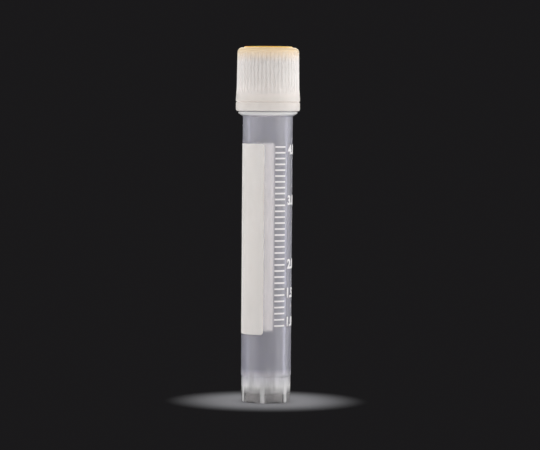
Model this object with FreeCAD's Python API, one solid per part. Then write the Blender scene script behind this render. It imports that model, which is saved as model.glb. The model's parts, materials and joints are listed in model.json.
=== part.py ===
import FreeCAD, Part
import math
import os

from FreeCAD import Vector

# A 5 ml self-standing cryogenic vial with an outside thread and a screw cap, upright and closed.
# Lengths are in millimetres and angles in degrees. +Z is the vial's own axis, and the origin is the
# middle of the ring that it stands on. An azimuth of 0 is +X and 90 is +Y; the volume scale faces -Y.

# Barrel, and the foot that it stands on
barrel_diameter = 12.5
foot_relief = 0.1           # the foot's radius is this much less than the barrel's
foot_height = 6.4
foot_step = 0.3             # height over which the foot widens to the barrel
foot_wall = 1.0
foot_edge = 0.25            # rounding of the foot's lower outer edge
floor_clearance = 0.65      # gap between the round bottom's tip and the surface that the vial stands on
floor_slope = 30.0          # rise of the round bottom's outside, from its tip to the foot's wall
floor_tip_radius = 2.7
floor_thickness = 1.65      # plastic between the bore's lowest point and the tip
web_count = 6
web_thickness = 0.9
web_length = 2.95           # from the foot's wall inwards, which leaves the middle of the foot open
web_azimuth = 22.0
web_root = 0.4              # how far a web reaches into the plastic that it joins
arch_width = 4.4            # shallow arches in the foot's lower edge, one between each two webs
arch_rise = 0.35

# Collar and neck
collar_top = 72.55
collar_proud = 1.15         # the collar stands this far out from the barrel
collar_land = 0.4           # height of the collar's upright edge
collar_slope = 0.75         # height of the slope under that edge
collar_edge = 0.25
neck_relief = 0.3           # the neck's radius is this much less than the barrel's
neck_length = 12.25
neck_wall = 1.16            # at the mouth
mouth_edge = 0.25
bore_draft = 0.21           # the bore widens to the mouth by this angle

# Thread: one ridge on the neck and one like it in the cap
thread_pitch = 3.0
thread_turns = 1.5
thread_height = 0.6
thread_root_width = 1.4
thread_crest_width = 0.7
thread_start = 5.2          # height of the neck ridge's lower end over the collar
thread_flank_gap = 0.1      # axial play between the two ridges when the cap is tight
thread_crest_gap = 0.2      # between each ridge's crest and the wall that it faces
thread_lag = 200.0          # the cap's ridge starts this far before the neck's
thread_taper = 40.0         # each ridge grows to its full height over this angle
thread_end_size = 0.15      # of the full section, at each ridge's ends
thread_step = 15.0
thread_root = 0.2           # how far a ridge reaches into its wall

# Screw cap
cap_gap = 0.15              # between the cap's lower edge and the collar
cap_wall = 1.05             # over the cap's bore, across the ribs at the flare's upper end
cap_ceiling_thickness = 1.0
cap_band_proud = 0.2        # the lower band stands this far out from the wall
cap_band_height = 2.1
cap_band_edge = 0.5
cap_groove_width = 0.36
cap_groove_depth = 0.25
cap_flare_start = 3.0       # height over the cap's lower edge where the wall starts to lean in
cap_flare_end = 5.9
cap_lean = 0.135            # the wall leans in by this much from the flare to the rim
cap_rim_edge = 1.15
rib_count = 48
rib_depth = 0.15
rib_groove_width = 0.25     # at the groove's bottom
rib_groove_lean = 30.0      # lean of the groove's sides
rib_start = 4.3             # height over the cap's lower edge where the grooves run out on the flare
rib_fade = 1.2              # length over which the grooves run out under the rim

# Cap insert, and the recess that it is pressed into
rim_width = 1.515           # from the recess to the cap's outside
insert_thickness = 2.0
insert_proud = 0.3          # how far it stands over the rim
insert_edge = 0.3
insert_clearance = 0.05

# Seal washer, and the ring under the cap's ceiling that keeps it in the middle
washer_thickness = 1.0
washer_play = 0.35          # between the washer and the cap's bore
washer_overhang = 0.59      # the washer reaches this far in over the mouth
washer_clearance = 0.1      # between the washer's hole and the ring
locator_width = 1.0
locator_height = 0.8

# Print on the barrel
ink_thickness = 0.04
panel_bottom = 17.1
panel_top = 64.6
panel_azimuth = 69.5
panel_sweep = 193.0
panel_corner = 0.7
scale_first_ml = 1.0
scale_step_ml = 0.1         # the lines end under the panel's top edge
scale_line_width = 0.4
scale_azimuth = -72.0
scale_sweep = 27.0

# Radii and heights that follow from those sizes
barrel_radius = barrel_diameter / 2
foot_radius = barrel_radius - foot_relief
foot_inner_radius = foot_radius - foot_wall
slope_rise = math.tan(math.radians(floor_slope))
floor_apex = floor_clearance - floor_tip_radius * (1 / math.cos(math.radians(floor_slope)) - 1)
floor_rim = floor_apex + foot_inner_radius * slope_rise
bore_floor = floor_clearance + floor_thickness
mouth = collar_top + neck_length
collar_radius = barrel_radius + collar_proud
neck_radius = barrel_radius - neck_relief
bore_mouth_radius = neck_radius - neck_wall
draft_rise = math.tan(math.radians(bore_draft))
bore_floor_radius = bore_mouth_radius - (mouth - bore_floor) * draft_rise
bore_round = bore_floor_radius * math.tan(math.radians(90 + bore_draft) / 2)
cap_bore_radius = neck_radius + thread_height + thread_crest_gap
cap_wall_radius = cap_bore_radius + cap_wall
cap_band_radius = cap_wall_radius + cap_band_proud
cap_rim_radius = cap_wall_radius - cap_lean
cap_bottom = collar_top + cap_gap
cap_ceiling = mouth + washer_thickness
recess_floor = cap_ceiling + cap_ceiling_thickness
recess_radius = cap_rim_radius - rim_width
cap_rim = recess_floor + insert_thickness - insert_proud
washer_radius = cap_bore_radius - washer_play
washer_hole_radius = bore_mouth_radius - washer_overhang


def rounded_face(corners):
    """A face in the XZ plane. Each corner is (distance from the axis, height, rounding radius).

    A rounding takes no more than its share of the two edges beside it.
    """
    points = [Vector(across, 0, up) for across, up, _ in corners]
    count = len(points)
    ahead = [points[(i + 1) % count] - points[i] for i in range(count)]
    halves = [(-ahead[i - 1]).getAngle(ahead[i]) / 2 for i in range(count)]
    wanted = [corner[2] / math.tan(half) for corner, half in zip(corners, halves)]
    setbacks = []
    for i, setback in enumerate(wanted):
        before = ahead[i - 1].Length / max(setback + wanted[i - 1], 1e-9)
        after = ahead[i].Length / max(setback + wanted[(i + 1) % count], 1e-9)
        setbacks.append(setback * min(1.0, before, after))
    edges = []
    end = points[-1] + Vector(ahead[-1]).normalize() * setbacks[-1]
    for i, (point, half, setback) in enumerate(zip(points, halves, setbacks)):
        back = -Vector(ahead[i - 1]).normalize()
        forward = Vector(ahead[i]).normalize()
        enter = point + back * setback
        leave = point + forward * setback
        if end.distanceToPoint(enter) > 1e-6:
            edges.append(Part.LineSegment(end, enter).toShape())
        if setback > 0:
            to_middle = setback / math.cos(half) - setback * math.tan(half)
            middle = point + (back + forward).normalize() * to_middle
            edges.append(Part.Arc(enter, middle, leave).toShape())
        end = leave
    return Part.Face(Part.Wire(edges))


def revolved(corners, sweep=360.0, azimuth=0.0):
    """The solid that the rounded outline makes as it turns about the axis."""
    solid = rounded_face(corners).revolve(Vector(0, 0, 0), Vector(0, 0, 1), sweep)
    return turned(solid, azimuth)


def turned(shape, azimuth):
    """The shape turned about the vial's axis."""
    copy = shape.copy()
    copy.rotate(Vector(0, 0, 0), Vector(0, 0, 1), azimuth)
    return copy


def around(shape, count, azimuth):
    """Copies of the shape, evenly spaced about the axis."""
    return [turned(shape, azimuth + 360 * i / count) for i in range(count)]


def thread_ridge(wall_radius, outward, first_azimuth, first_height):
    """A helical ridge on a wall, outward 1 on a neck or -1 in a bore, that tapers to both its ends."""
    sections = []
    sweep = 360 * thread_turns
    steps = round(sweep / thread_step)
    for i in range(steps + 1):
        angle = sweep * i / steps
        to_end = min(angle, sweep - angle) / thread_taper
        swell = (1 - math.cos(math.pi * min(to_end, 1.0))) / 2
        size = thread_end_size + (1 - thread_end_size) * swell
        lean = (thread_root_width - thread_crest_width) / 2 / thread_height
        root = wall_radius - outward * thread_root
        crest = wall_radius + outward * thread_height * size
        half_root = thread_root_width * size / 2 + lean * thread_root
        half_crest = thread_crest_width * size / 2
        height = first_height + thread_pitch * angle / 360
        section = Part.makePolygon([
            Vector(root, 0, height - half_root),
            Vector(crest, 0, height - half_crest),
            Vector(crest, 0, height + half_crest),
            Vector(root, 0, height + half_root),
            Vector(root, 0, height - half_root),
        ])
        sections.append(turned(section, first_azimuth + angle))
    return Part.makeLoft(sections, True, False)


def foot_webs():
    """Upright webs that join the round bottom to the foot's wall."""
    reach = foot_inner_radius + web_root
    under_floor = revolved([
        (0, 0, 0),
        (reach, 0, 0),
        (reach, floor_apex + reach * slope_rise + web_root, 0),
        (0, floor_apex + web_root, 0),
    ])
    inner = foot_inner_radius - web_length
    block = Part.makeBox(reach - inner, web_thickness, reach, Vector(inner, -web_thickness / 2, 0))
    return around(block.common(under_floor), web_count, web_azimuth)


def foot_arches():
    """Round cutters that lift the foot's lower edge between the webs, so that it stands on pads."""
    radius = (arch_width ** 2 / 4 + arch_rise ** 2) / (2 * arch_rise)
    inner = foot_inner_radius - foot_wall
    cutter = Part.makeCylinder(radius, 3 * foot_wall, Vector(inner, 0, arch_rise - radius), Vector(1, 0, 0))
    return around(cutter, web_count, web_azimuth + 180 / web_count)


def vial_tube():
    tip_corner = floor_tip_radius * math.tan(math.radians(floor_slope) / 2)
    body = revolved([
        (0, floor_clearance, 0),
        (tip_corner, floor_clearance, floor_tip_radius),
        (foot_inner_radius, floor_rim, foot_edge),
        (foot_inner_radius, 0, 0),
        (foot_radius, 0, foot_edge),
        (foot_radius, foot_height, 0),
        (barrel_radius, foot_height + foot_step, 0),
        (barrel_radius, collar_top - collar_land - collar_slope, collar_edge),
        (collar_radius, collar_top - collar_land, collar_edge),
        (collar_radius, collar_top, 0),
        (neck_radius, collar_top, 0),
        (neck_radius, mouth, mouth_edge),
        (bore_mouth_radius, mouth, mouth_edge),
        (bore_floor_radius, bore_floor, bore_round),
        (0, bore_floor, 0),
    ])
    ridge = thread_ridge(neck_radius, 1, 0, collar_top + thread_start)
    return body.fuse(foot_webs()).cut(foot_arches()).fuse(ridge)


def rib_grooves():
    """Grooves down the cap's wall. They leave the ribs between them and run out at both their ends."""
    flare_end = cap_bottom + cap_flare_end
    outside = cap_band_radius + rib_depth
    flare_lean = cap_band_proud / (cap_flare_end - cap_flare_start)
    run_out = cap_wall_radius + (cap_flare_end - rib_start) * flare_lean
    top = cap_rim - cap_rim_edge
    wall_lean = cap_lean / (cap_rim - flare_end)
    ring = revolved([
        (cap_rim_radius + (cap_rim - top) * wall_lean, top, 0),
        (cap_rim_radius + (cap_rim - top + rib_fade) * wall_lean - rib_depth, top - rib_fade, 0),
        (cap_wall_radius - rib_depth, flare_end, 0),
        (run_out, cap_bottom + rib_start, 0),
        (outside, cap_bottom + rib_start, 0),
        (outside, top, 0),
    ])
    inside = cap_rim_radius - rib_depth
    half_inner = rib_groove_width / 2
    half_outer = half_inner + (outside - inside) * math.tan(math.radians(rib_groove_lean))
    wedge = Part.Face(Part.makePolygon([
        Vector(inside, -half_inner, cap_bottom),
        Vector(outside, -half_outer, cap_bottom),
        Vector(outside, half_outer, cap_bottom),
        Vector(inside, half_inner, cap_bottom),
        Vector(inside, -half_inner, cap_bottom),
    ]))
    groove = wedge.extrude(Vector(0, 0, top - cap_bottom)).common(ring)
    return around(groove, rib_count, 180 / rib_count)


def screw_cap():
    groove_bottom = cap_bottom + cap_band_height
    groove_middle = groove_bottom + cap_groove_width / 2
    groove_top = groove_bottom + cap_groove_width
    locator = washer_hole_radius - washer_clearance
    body = revolved([
        (cap_bore_radius, cap_bottom, 0),
        (cap_band_radius, cap_bottom, cap_band_edge),
        (cap_band_radius, groove_bottom, 0),
        (cap_band_radius - cap_groove_depth, groove_middle, 0),
        (cap_band_radius, groove_top, 0),
        (cap_band_radius, cap_bottom + cap_flare_start, 0),
        (cap_wall_radius, cap_bottom + cap_flare_end, 0),
        (cap_rim_radius, cap_rim, cap_rim_edge),
        (recess_radius, cap_rim, 0),
        (recess_radius, recess_floor, 0),
        (0, recess_floor, 0),
        (0, cap_ceiling, 0),
        (locator - locator_width, cap_ceiling, 0),
        (locator - locator_width, cap_ceiling - locator_height, 0),
        (locator, cap_ceiling - locator_height, 0),
        (locator, cap_ceiling, 0),
        (cap_bore_radius, cap_ceiling, 0),
    ])
    flank_lean = (thread_root_width - thread_crest_width) / thread_height
    widths = 2 * thread_root_width - flank_lean * (cap_bore_radius - neck_radius)
    drop = widths / 2 + thread_flank_gap
    start = collar_top + thread_start - thread_pitch * thread_lag / 360 - drop
    ridge = thread_ridge(cap_bore_radius, -1, -thread_lag, start)
    return body.cut(rib_grooves()).fuse(ridge)


def cap_insert():
    radius = recess_radius - insert_clearance
    return revolved([
        (0, recess_floor, 0),
        (radius, recess_floor, 0),
        (radius, recess_floor + insert_thickness, insert_edge),
        (0, recess_floor + insert_thickness, 0),
    ])


def seal_washer():
    return revolved([
        (washer_hole_radius, mouth, 0),
        (washer_radius, mouth, 0),
        (washer_radius, cap_ceiling, 0),
        (washer_hole_radius, cap_ceiling, 0),
    ])


def patch(inner, outer, bottom, top, azimuth, sweep):
    """A piece of a round wall."""
    return revolved([(inner, bottom, 0), (outer, bottom, 0), (outer, top, 0), (inner, top, 0)], sweep, azimuth)


def printed(bottom, top, azimuth, sweep):
    """A patch of ink on the barrel."""
    return patch(barrel_radius, barrel_radius + ink_thickness, bottom, top, azimuth, sweep)


def writing_panel():
    """The panel's skin of ink. Its corners are rounded on a thick block, which the skin is then taken from."""
    depth = 2 * panel_corner
    inner = barrel_radius - depth / 2
    block = patch(inner, inner + depth, panel_bottom, panel_top, panel_azimuth, panel_sweep)
    corners = [edge for edge in block.Edges if abs(edge.Length - depth) < ink_thickness]
    skin = printed(panel_bottom, panel_top, panel_azimuth, panel_sweep)
    return block.makeFillet(panel_corner, corners).common(skin)


def filled_height(millilitres):
    """The height to which that volume fills the bore: a round floor, and above it a slowly widening cone."""
    draft = math.radians(bore_draft)
    cone_start = bore_floor + bore_round * (1 - math.sin(draft))
    cone_radius = bore_round * math.cos(draft)
    depth = cone_start - bore_floor
    in_floor = math.pi * depth ** 2 * (3 * bore_round - depth) / 3
    in_cone = 1000 * millilitres - in_floor
    radius = (cone_radius ** 3 + 3 * draft_rise * in_cone / math.pi) ** (1 / 3)
    return cone_start + (radius - cone_radius) / draft_rise


def volume_scale():
    lines = []
    bottom = filled_height(scale_first_ml) - scale_line_width / 2
    while bottom + scale_line_width < panel_top:
        lines.append(printed(bottom, bottom + scale_line_width, scale_azimuth, scale_sweep))
        bottom = filled_height(scale_first_ml + scale_step_ml * len(lines)) - scale_line_width / 2
    return Part.makeCompound(lines)


os.makedirs("parts", exist_ok=True)
vial_tube().exportStep("parts/vial_tube.step")
screw_cap().exportStep("parts/screw_cap.step")
cap_insert().exportStep("parts/cap_insert.step")
seal_washer().exportStep("parts/seal_washer.step")
writing_panel().exportStep("parts/writing_panel.step")
volume_scale().exportStep("parts/volume_scale.step")
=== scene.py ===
import bmesh
import bpy
import json
import math

from mathutils import Euler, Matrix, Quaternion, Vector


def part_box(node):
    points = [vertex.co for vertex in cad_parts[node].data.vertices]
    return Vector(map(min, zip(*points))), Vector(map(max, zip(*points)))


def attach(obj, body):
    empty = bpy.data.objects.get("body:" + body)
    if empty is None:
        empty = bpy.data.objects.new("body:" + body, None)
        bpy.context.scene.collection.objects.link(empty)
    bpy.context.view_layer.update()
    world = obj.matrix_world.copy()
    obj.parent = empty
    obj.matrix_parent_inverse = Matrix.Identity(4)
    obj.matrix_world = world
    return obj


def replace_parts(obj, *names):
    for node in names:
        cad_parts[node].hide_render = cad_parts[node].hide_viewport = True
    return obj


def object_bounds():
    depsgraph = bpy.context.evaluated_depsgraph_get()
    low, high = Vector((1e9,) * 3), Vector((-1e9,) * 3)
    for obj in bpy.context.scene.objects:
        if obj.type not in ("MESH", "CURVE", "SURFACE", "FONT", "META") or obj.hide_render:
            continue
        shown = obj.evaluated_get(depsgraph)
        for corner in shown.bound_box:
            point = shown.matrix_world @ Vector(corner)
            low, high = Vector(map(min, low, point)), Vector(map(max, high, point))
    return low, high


# Everything is in metres, in the frame of the CAD model: +Z up, the vial standing on z = 0, its scale on -Y.
MM = 0.001

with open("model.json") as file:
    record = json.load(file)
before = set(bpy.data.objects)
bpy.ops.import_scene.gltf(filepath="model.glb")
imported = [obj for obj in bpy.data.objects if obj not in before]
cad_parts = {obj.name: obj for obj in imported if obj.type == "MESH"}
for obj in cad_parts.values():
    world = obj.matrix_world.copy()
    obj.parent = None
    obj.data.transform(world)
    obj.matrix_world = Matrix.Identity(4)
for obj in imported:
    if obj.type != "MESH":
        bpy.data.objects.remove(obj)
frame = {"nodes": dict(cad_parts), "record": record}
cad_low, cad_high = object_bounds()
nodes = frame["nodes"]
vial_middle = Vector((0, 0, (cad_low.z + cad_high.z) / 2))

mounts = {mount["name"]: mount for mount in frame["record"]["mounts"]}
barrel_radius = mounts["rack_barrel"]["dims"]["r_mm"] * MM
cap_low, cap_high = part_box("screw_cap")
insert_low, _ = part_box("cap_insert")

# The webs inside the foot
web_count = 6
web_azimuth = math.radians(22)
web_edge = (0.75, 0.95)             # a web shows where the wave that runs round the foot is over this

# Heights between which one finish of the tube turns into the next
ring_fade = (2.0 * MM, 4.2 * MM)    # the foot's ring, clear between the webs, turns cloudy
polish_fade = (3.0 * MM, 5.0 * MM)  # the foot's polish turns into the barrel's frost
foot_fade = (3.8 * MM, 8.5 * MM)    # the milky foot turns into the clear barrel
neck_fade = (64 * MM, 71 * MM)      # the barrel gets cloudier under the collar

# Distances from the axis between which the tube's inner skin turns into its outer one, and that into the
# collar and whatever else stands proud of the barrel
skin_fade = (barrel_radius - 0.6 * MM, barrel_radius - 0.3 * MM)
proud_fade = (barrel_radius + 0.1 * MM, barrel_radius + 0.8 * MM)

# Heights between which the cap's darker band ends, and the insert's yellow grows towards the rim
band_fade = (cap_low.z + 3.0 * MM, cap_low.z + 5.5 * MM)
tint_fade = (insert_low.z - 1.9 * MM, cap_high.z)

# The scale's numbers: each label, and the height of its middle
numbers = {"4.0": 63.2 * MM, "3.0": 50.6 * MM, "2.0": 34.7 * MM, "1.5": 27.5 * MM, "1.0": 20.3 * MM}
number_height = 2.5 * MM
number_azimuth = math.radians(-36)  # of their left edge
number_weight = 0.04                # added all round the strokes, as a share of the type size
number_strip = 0.2 * MM             # the digits bend round the barrel in steps of this width
ink_thickness = 0.04 * MM
ink_root = 0.05 * MM                # how far the print's back is inside the wall, so no light slips between

floor_radius = 26 * MM

# The camera stands off along -Y, on the scale's side
camera_distance = 680 * MM
camera_height = 77 * MM
camera_dip = math.radians(2.76)     # it looks down by this
camera_turn = math.radians(-0.063)  # about the vertical
camera_tilt = math.radians(0.43)    # about its own line of sight

noise_spread = (0.3, 0.7)           # most of a noise lies in this

# The colour sockets of a Mix node, by their places
MIX_FACTOR = 0
MIX_FIRST = 6
MIX_SECOND = 7
MIX_RESULT = 2


# ---------------------------------------------------------------- shader helpers

class Nodes:
    """A node tree, and short ways to add and join nodes."""

    def __init__(self, tree):
        self.tree = tree

    def node(self, kind, inputs=(), **settings):
        """A node with these settings. Each input is joined to a socket or set to a plain value."""
        made = self.tree.nodes.new("ShaderNode" + kind)
        for name, value in settings.items():
            setattr(made, name, value)
        for name, value in dict(inputs).items():
            if isinstance(value, bpy.types.NodeSocket):
                self.tree.links.new(value, made.inputs[name])
            else:
                made.inputs[name].default_value = value
        return made

    def blend(self, factor, first, second):
        """The first colour where the factor is 0, and the second where it is 1."""
        sockets = {MIX_FACTOR: factor, MIX_FIRST: first, MIX_SECOND: second}
        return self.node("Mix", sockets, data_type="RGBA").outputs[MIX_RESULT]

    def maths(self, operation, first, second=0.0):
        return self.node("Math", {0: first, 1: second}, operation=operation).outputs["Value"]


class Shader(Nodes):
    """A material under construction."""

    def __init__(self, name, **sockets):
        self.material = bpy.data.materials.new(name)
        self.material.use_nodes = True
        super().__init__(self.material.node_tree)
        self.surface = self.tree.nodes["Principled BSDF"]
        for socket, value in sockets.items():
            self.surface.inputs[socket.replace("_", " ")].default_value = value
        self.place = self.node("TexCoord").outputs["Object"]

    def join(self, output, socket):
        self.tree.links.new(output, self.surface.inputs[socket])

    def stretched(self, x, y, z):
        """Object coordinates times a factor for each axis. One under 1 draws a texture out along it."""
        return self.node("Mapping", {"Vector": self.place, "Scale": (x, y, z)}).outputs["Vector"]

    def noise(self, scale, detail=2.0, place=None):
        sockets = {"Vector": place or self.place, "Scale": scale, "Detail": detail}
        return self.node("TexNoise", sockets).outputs["Fac"]

    def ramp(self, value, low, high, start, end):
        """value from low to high, mapped to start to end and held there beyond."""
        sockets = {"Value": value, "From Min": low, "From Max": high, "To Min": start, "To Max": end}
        return self.node("MapRange", sockets).outputs["Result"]

    def rough(self, scale, low, high):
        """Roughness that wavers between low and high, in patches that the scale makes finer."""
        self.join(self.ramp(self.noise(scale), *noise_spread, low, high), "Roughness")

    def height(self):
        return self.node("SeparateXYZ", {"Vector": self.place}).outputs["Z"]

    def wave_around(self, count, azimuth):
        """1 at each of count azimuths spaced evenly from the given one, and -1 halfway between them."""
        parts = self.node("SeparateXYZ", {"Vector": self.place}).outputs
        azimuth_here = self.maths("ARCTAN2", parts["Y"], parts["X"])
        turned = self.maths("SUBTRACT", azimuth_here, azimuth)
        return self.maths("COSINE", self.maths("MULTIPLY", turned, count))

    def from_axis(self):
        """Distance from the vial's axis."""
        flat = self.node("VectorMath", {0: self.place, 1: (1, 1, 0)}, operation="MULTIPLY").outputs["Vector"]
        return self.node("VectorMath", {0: flat}, operation="LENGTH").outputs["Value"]

    def bumps(self, soft_edge, *layers):
        """Edges that look rounded to that radius, with layers of bump on them.

        Each layer is a height socket and its depth in metres.
        """
        normal = self.node("Bevel", {"Radius": soft_edge}, samples=8).outputs["Normal"]
        for output, depth in layers:
            sockets = {"Height": output, "Distance": depth, "Strength": 1.0, "Normal": normal}
            normal = self.node("Bump", sockets).outputs["Normal"]
        self.join(normal, "Normal")


def rgba(red, green, blue):
    return (red, green, blue, 1.0)


backdrop = rgba(0.0105, 0.0100, 0.0108)
black = rgba(0, 0, 0)


# ---------------------------------------------------------------- materials

def tube_plastic():
    """Natural polypropylene: a bluish outer skin on a warm inner one, and milky where it is thick."""
    shader = Shader(
        "tube_plastic",
        IOR=1.49,
        Specular_IOR_Level=0.7,
        Subsurface_Weight=1.0,
        Subsurface_Scale=2.5 * MM,
        Subsurface_Radius=(1.0, 1.0, 1.0),
    )
    height = shader.height()
    outward = shader.from_axis()
    outside = shader.ramp(outward, *skin_fade, 0.0, 1.0)
    proud = shader.ramp(outward, *proud_fade, 0.0, 1.0)

    # Colour
    cloud = shader.noise(180, 3.0, shader.stretched(1.0, 1.0, 0.25))
    bluish = shader.blend(cloud, rgba(0.76, 0.757, 0.97), rgba(0.83, 0.827, 0.98))
    skins = shader.blend(outside, rgba(1.0, 0.95, 0.84), bluish)
    milk = shader.maths("MAXIMUM", shader.ramp(height, *foot_fade, 1.0, 0.0), proud)
    shader.join(shader.blend(milk, skins, rgba(0.93, 0.91, 0.905)), "Base Color")

    # The share of light that goes through each place
    streaks = shader.noise(600, 2.0, shader.stretched(1.0, 1.0, 0.22))
    thick = shader.ramp(streaks, 0.35, 0.65, 0.16, 0.52)
    at_web = shader.wave_around(web_count, web_azimuth)
    ring = shader.ramp(at_web, *web_edge, 0.93, thick)
    webs = shader.ramp(at_web, *web_edge, 0.75, 0.15)
    foot = shader.ramp(height, *ring_fade, ring, thick)
    wall = shader.ramp(height, *neck_fade, 0.76, 0.68)
    outer = shader.ramp(height, *foot_fade, foot, wall)
    inner = shader.ramp(height, *foot_fade, webs, 0.97)
    barrel = shader.ramp(outside, 0.0, 1.0, inner, outer)
    shader.join(shader.ramp(proud, 0.0, 1.0, barrel, 0.1), "Transmission Weight")

    # Surface
    polish = 0.12
    haze = shader.noise(420, 2.0, shader.stretched(1.0, 1.0, 0.3))
    frost = shader.ramp(haze, *noise_spread, polish, 0.18)
    shader.join(shader.ramp(height, *polish_fade, polish, frost), "Roughness")
    flow = shader.noise(900, 1.0, shader.stretched(1.0, 1.0, 0.05))
    shader.bumps(0.35 * MM, (flow, 0.006 * MM), (shader.noise(5000, 1.0), 0.002 * MM))
    return shader.material


def cap_plastic():
    """The same plastic, thicker and milky. The lower band is darker, and the insert tints the rim yellow."""
    shader = Shader(
        "cap_plastic",
        IOR=1.49,
        Subsurface_Weight=1.0,
        Subsurface_Scale=5 * MM,
        Subsurface_Radius=(1.0, 1.0, 1.0),
    )
    cloud = shader.noise(260, 3.0)
    milk = shader.blend(cloud, rgba(0.95, 0.78, 0.72), rgba(0.98, 0.82, 0.76))
    height = shader.height()
    wall = shader.blend(shader.ramp(height, *band_fade, 1.0, 0.0), milk, rgba(0.74, 0.66, 0.61))
    tint = shader.ramp(height, *tint_fade, 0.0, 1.0)
    shader.join(shader.blend(tint, wall, rgba(0.68, 0.46, 0.25)), "Base Color")
    shader.rough(700, 0.32, 0.46)
    shader.bumps(0.02 * MM, (shader.noise(3500, 2.0), 0.008 * MM))
    return shader.material


def insert_plastic():
    """Yellow plastic, hardly see-through, with a satin face."""
    shader = Shader("insert_plastic", IOR=1.49, Subsurface_Weight=0.3, Subsurface_Scale=1.0 * MM)
    cloud = shader.noise(300, 3.0)
    shader.join(shader.blend(cloud, rgba(0.80, 0.46, 0.06), rgba(0.88, 0.55, 0.10)), "Base Color")
    shader.rough(900, 0.30, 0.42)
    shader.bumps(0.1 * MM, (shader.noise(2500, 2.0), 0.006 * MM))
    return shader.material


def silicone():
    """Soft, cloudy and matt."""
    shader = Shader("silicone", IOR=1.43, Subsurface_Weight=0.8, Subsurface_Scale=1.0 * MM)
    cloud = shader.noise(500, 2.0)
    shader.join(shader.blend(cloud, rgba(0.70, 0.69, 0.66), rgba(0.78, 0.77, 0.74)), "Base Color")
    shader.rough(1500, 0.45, 0.60)
    shader.bumps(0.1 * MM, (shader.noise(3000, 2.0), 0.004 * MM))
    return shader.material


def white_ink(name, see_through, darkest, palest):
    """Screen-printed ink, with a slight mottle and grain. A thin coat lets some light through."""
    shader = Shader(
        name,
        IOR=1.45,
        Subsurface_Weight=see_through,
        Subsurface_Scale=1.0 * MM,
        Subsurface_Radius=(1.0, 1.0, 1.0),
    )
    mottle = shader.noise(240, 4.0, shader.stretched(1.0, 1.0, 0.4))
    shader.join(shader.blend(mottle, darkest, palest), "Base Color")
    shader.rough(800, 0.48, 0.62)
    shader.bumps(0.02 * MM, (shader.noise(4000, 2.0), 0.004 * MM))
    return shader.material


def floor_with_painted_light_pool():
    """Pale and matt round the vial, a painted pool of light. Further out the colour fades to black and the
    floor glows with the backdrop's own dark, so it turns into the backdrop.
    """
    shader = Shader("floor_with_painted_light_pool", Specular_IOR_Level=0.0, Emission_Color=backdrop)
    pale = shader.blend(shader.noise(40, 3.0), rgba(0.19, 0.19, 0.20), rgba(0.23, 0.23, 0.24))
    fade = {"Value": shader.from_axis(), "From Min": cap_high.x, "From Max": floor_radius}
    painted_falloff = shader.node("MapRange", fade, interpolation_type="SMOOTHSTEP").outputs["Result"]
    # Painted pool of light: pale colour near the vial, fading to black further out, where the emission
    # paints in the backdrop's dark
    shader.join(shader.blend(painted_falloff, pale, black), "Base Color")
    shader.join(painted_falloff, "Emission Strength")
    shader.rough(60, 0.55, 0.65)
    return shader.material


# ---------------------------------------------------------------- print on the barrel

def added(name, data):
    """A new object with that data, in the scene."""
    made = bpy.data.objects.new(name, data)
    bpy.context.scene.collection.objects.link(made)
    return made


def printed(mesh, ink):
    mesh.materials.append(ink)
    piece = added(mesh.name, mesh)
    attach(piece, "tube")
    return piece


def rooted_print(node, ink):
    """The CAD print, with its back let into the wall."""
    mesh = nodes[node].data.copy()
    mesh.name = node + "_print"
    mesh.materials.clear()
    for vertex in mesh.vertices:
        radius = math.hypot(vertex.co.x, vertex.co.y)
        if radius < barrel_radius + ink_thickness / 2:
            vertex.co.x *= (barrel_radius - ink_root) / radius
            vertex.co.y *= (barrel_radius - ink_root) / radius
    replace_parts(printed(mesh, ink), node)


def outline_of(label):
    """A mesh of the label's flat outline, in the default type."""
    curve = bpy.data.curves.new("number", "FONT")
    curve.body = label
    curve.offset = number_weight
    holder = added("number", curve)
    depsgraph = bpy.context.evaluated_depsgraph_get()
    outline = bpy.data.meshes.new_from_object(holder.evaluated_get(depsgraph))
    bpy.data.objects.remove(holder)
    bpy.data.curves.remove(curve)
    return outline


def flat_number(label):
    """A bmesh of the label as a flat plate. Its left edge is at x 0 and its middle at y 0.

    z is measured from the barrel's wall: the face is at the ink's thickness, and the back is inside.
    """
    outline = outline_of(label)
    shape = bmesh.new()
    shape.from_mesh(outline)
    bpy.data.meshes.remove(outline)
    xs = [vertex.co.x for vertex in shape.verts]
    ys = [vertex.co.y for vertex in shape.verts]
    scale = number_height / (max(ys) - min(ys))
    for vertex in shape.verts:
        vertex.co = (
            (vertex.co.x - min(xs)) * scale,
            (vertex.co.y - (min(ys) + max(ys)) / 2) * scale,
            ink_thickness,
        )
    width = (max(xs) - min(xs)) * scale
    for i in range(1, math.ceil(width / number_strip)):
        everything = shape.verts[:] + shape.edges[:] + shape.faces[:]
        cut = (i * number_strip, 0, 0)
        bmesh.ops.bisect_plane(shape, geom=everything, plane_co=cut, plane_no=(1, 0, 0), dist=1e-9)
    made = bmesh.ops.extrude_face_region(shape, geom=shape.faces[:])["geom"]
    for item in made:
        if isinstance(item, bmesh.types.BMVert):
            item.co.z = -ink_root
    bmesh.ops.recalc_face_normals(shape, faces=shape.faces[:])
    return shape


def scale_number(label, height, ink):
    """The label printed on the barrel beside its line."""
    shape = flat_number(label)
    for vertex in shape.verts:
        azimuth = number_azimuth + vertex.co.x / barrel_radius
        radius = barrel_radius + vertex.co.z
        vertex.co = (radius * math.cos(azimuth), radius * math.sin(azimuth), height + vertex.co.y)
    mesh = bpy.data.meshes.new("number_" + label)
    shape.to_mesh(mesh)
    shape.free()
    printed(mesh, ink)


# ---------------------------------------------------------------- finish of the CAD nodes

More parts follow.
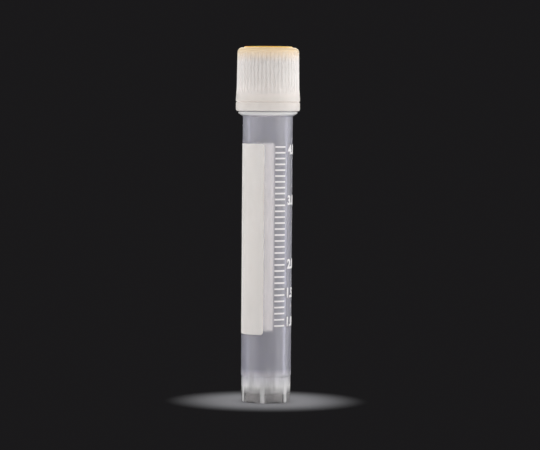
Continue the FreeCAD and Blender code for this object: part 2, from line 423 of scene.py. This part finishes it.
panel_ink = white_ink("panel_ink", 0.75, rgba(0.97, 0.85, 0.775), rgba(0.97, 0.90, 0.83))
scale_ink = white_ink("scale_ink", 0.0, rgba(0.71, 0.69, 0.70), rgba(0.77, 0.75, 0.76))
finishes = {
    "vial_tube": tube_plastic(),
    "screw_cap": cap_plastic(),
    "cap_insert": insert_plastic(),
    "seal_washer": silicone(),
}
for name, material in finishes.items():
    mesh = nodes[name].data
    mesh.materials.clear()
    mesh.materials.append(material)

rooted_print("writing_panel", panel_ink)
rooted_print("volume_scale", scale_ink)
for label, height in numbers.items():
    scale_number(label, height, scale_ink)


# ---------------------------------------------------------------- floor, light, camera

def floor():
    """A round table top under the vial."""
    shape = bmesh.new()
    bmesh.ops.create_circle(shape, cap_ends=True, radius=floor_radius, segments=96)
    mesh = bpy.data.meshes.new("floor")
    shape.to_mesh(mesh)
    shape.free()
    mesh.materials.append(floor_with_painted_light_pool())
    plane = added("floor", mesh)


def soft_lamp(name, place, width, height, power):
    """A soft box aimed at the middle of the vial."""
    lamp = bpy.data.lights.new(name, "AREA")
    lamp.shape = "RECTANGLE"
    lamp.size = width
    lamp.size_y = height
    lamp.energy = power
    holder = added(name, lamp)
    holder.location = place
    holder.rotation_mode = "QUATERNION"
    holder.rotation_quaternion = (vial_middle - Vector(place)).to_track_quat("-Z", "Y")


def dark_room():
    """Soft grey light all round. What is seen of it is dark, also in gloss and through the plastic."""
    world = bpy.data.worlds.new("studio")
    world.use_nodes = True
    studio = Nodes(world.node_tree)
    path = studio.node("LightPath").outputs
    mirrored = studio.maths("MAXIMUM", path["Is Glossy Ray"], path["Is Transmission Ray"])
    seen = studio.maths("MAXIMUM", path["Is Camera Ray"], mirrored)
    before_any_bounce = studio.maths("LESS_THAN", path["Diffuse Depth"], 0.5)
    dark = studio.maths("MULTIPLY", seen, before_any_bounce)
    colour = studio.blend(dark, rgba(0.93, 0.93, 0.93), backdrop)
    studio.tree.links.new(colour, studio.tree.nodes["Background"].inputs["Color"])
    bpy.context.scene.world = world


def camera():
    """A long lens, level with the lower part of the cap and looking slightly down."""
    data = bpy.data.cameras.new("camera")
    data.lens = 181.3
    data.sensor_width = 36.0
    holder = added("camera", data)
    holder.location = (0, -camera_distance, camera_height)
    holder.rotation_mode = "QUATERNION"
    look = Euler((math.radians(90) - camera_dip, 0, camera_turn)).to_quaternion()
    holder.rotation_quaternion = look @ Quaternion((0, 0, 1), camera_tilt)
    bpy.context.scene.camera = holder


floor()
soft_lamp("key", place=(0.36, -0.02, 0.13), width=0.64, height=0.50, power=0.93)
soft_lamp("fill", place=(-0.36, -0.02, 0.13), width=0.64, height=0.50, power=0.45)
soft_lamp("back", place=(0, 0.45, 0.30), width=0.30, height=0.30, power=0.7)
dark_room()
camera()

settings = bpy.context.scene.view_settings
settings.view_transform = "Standard"
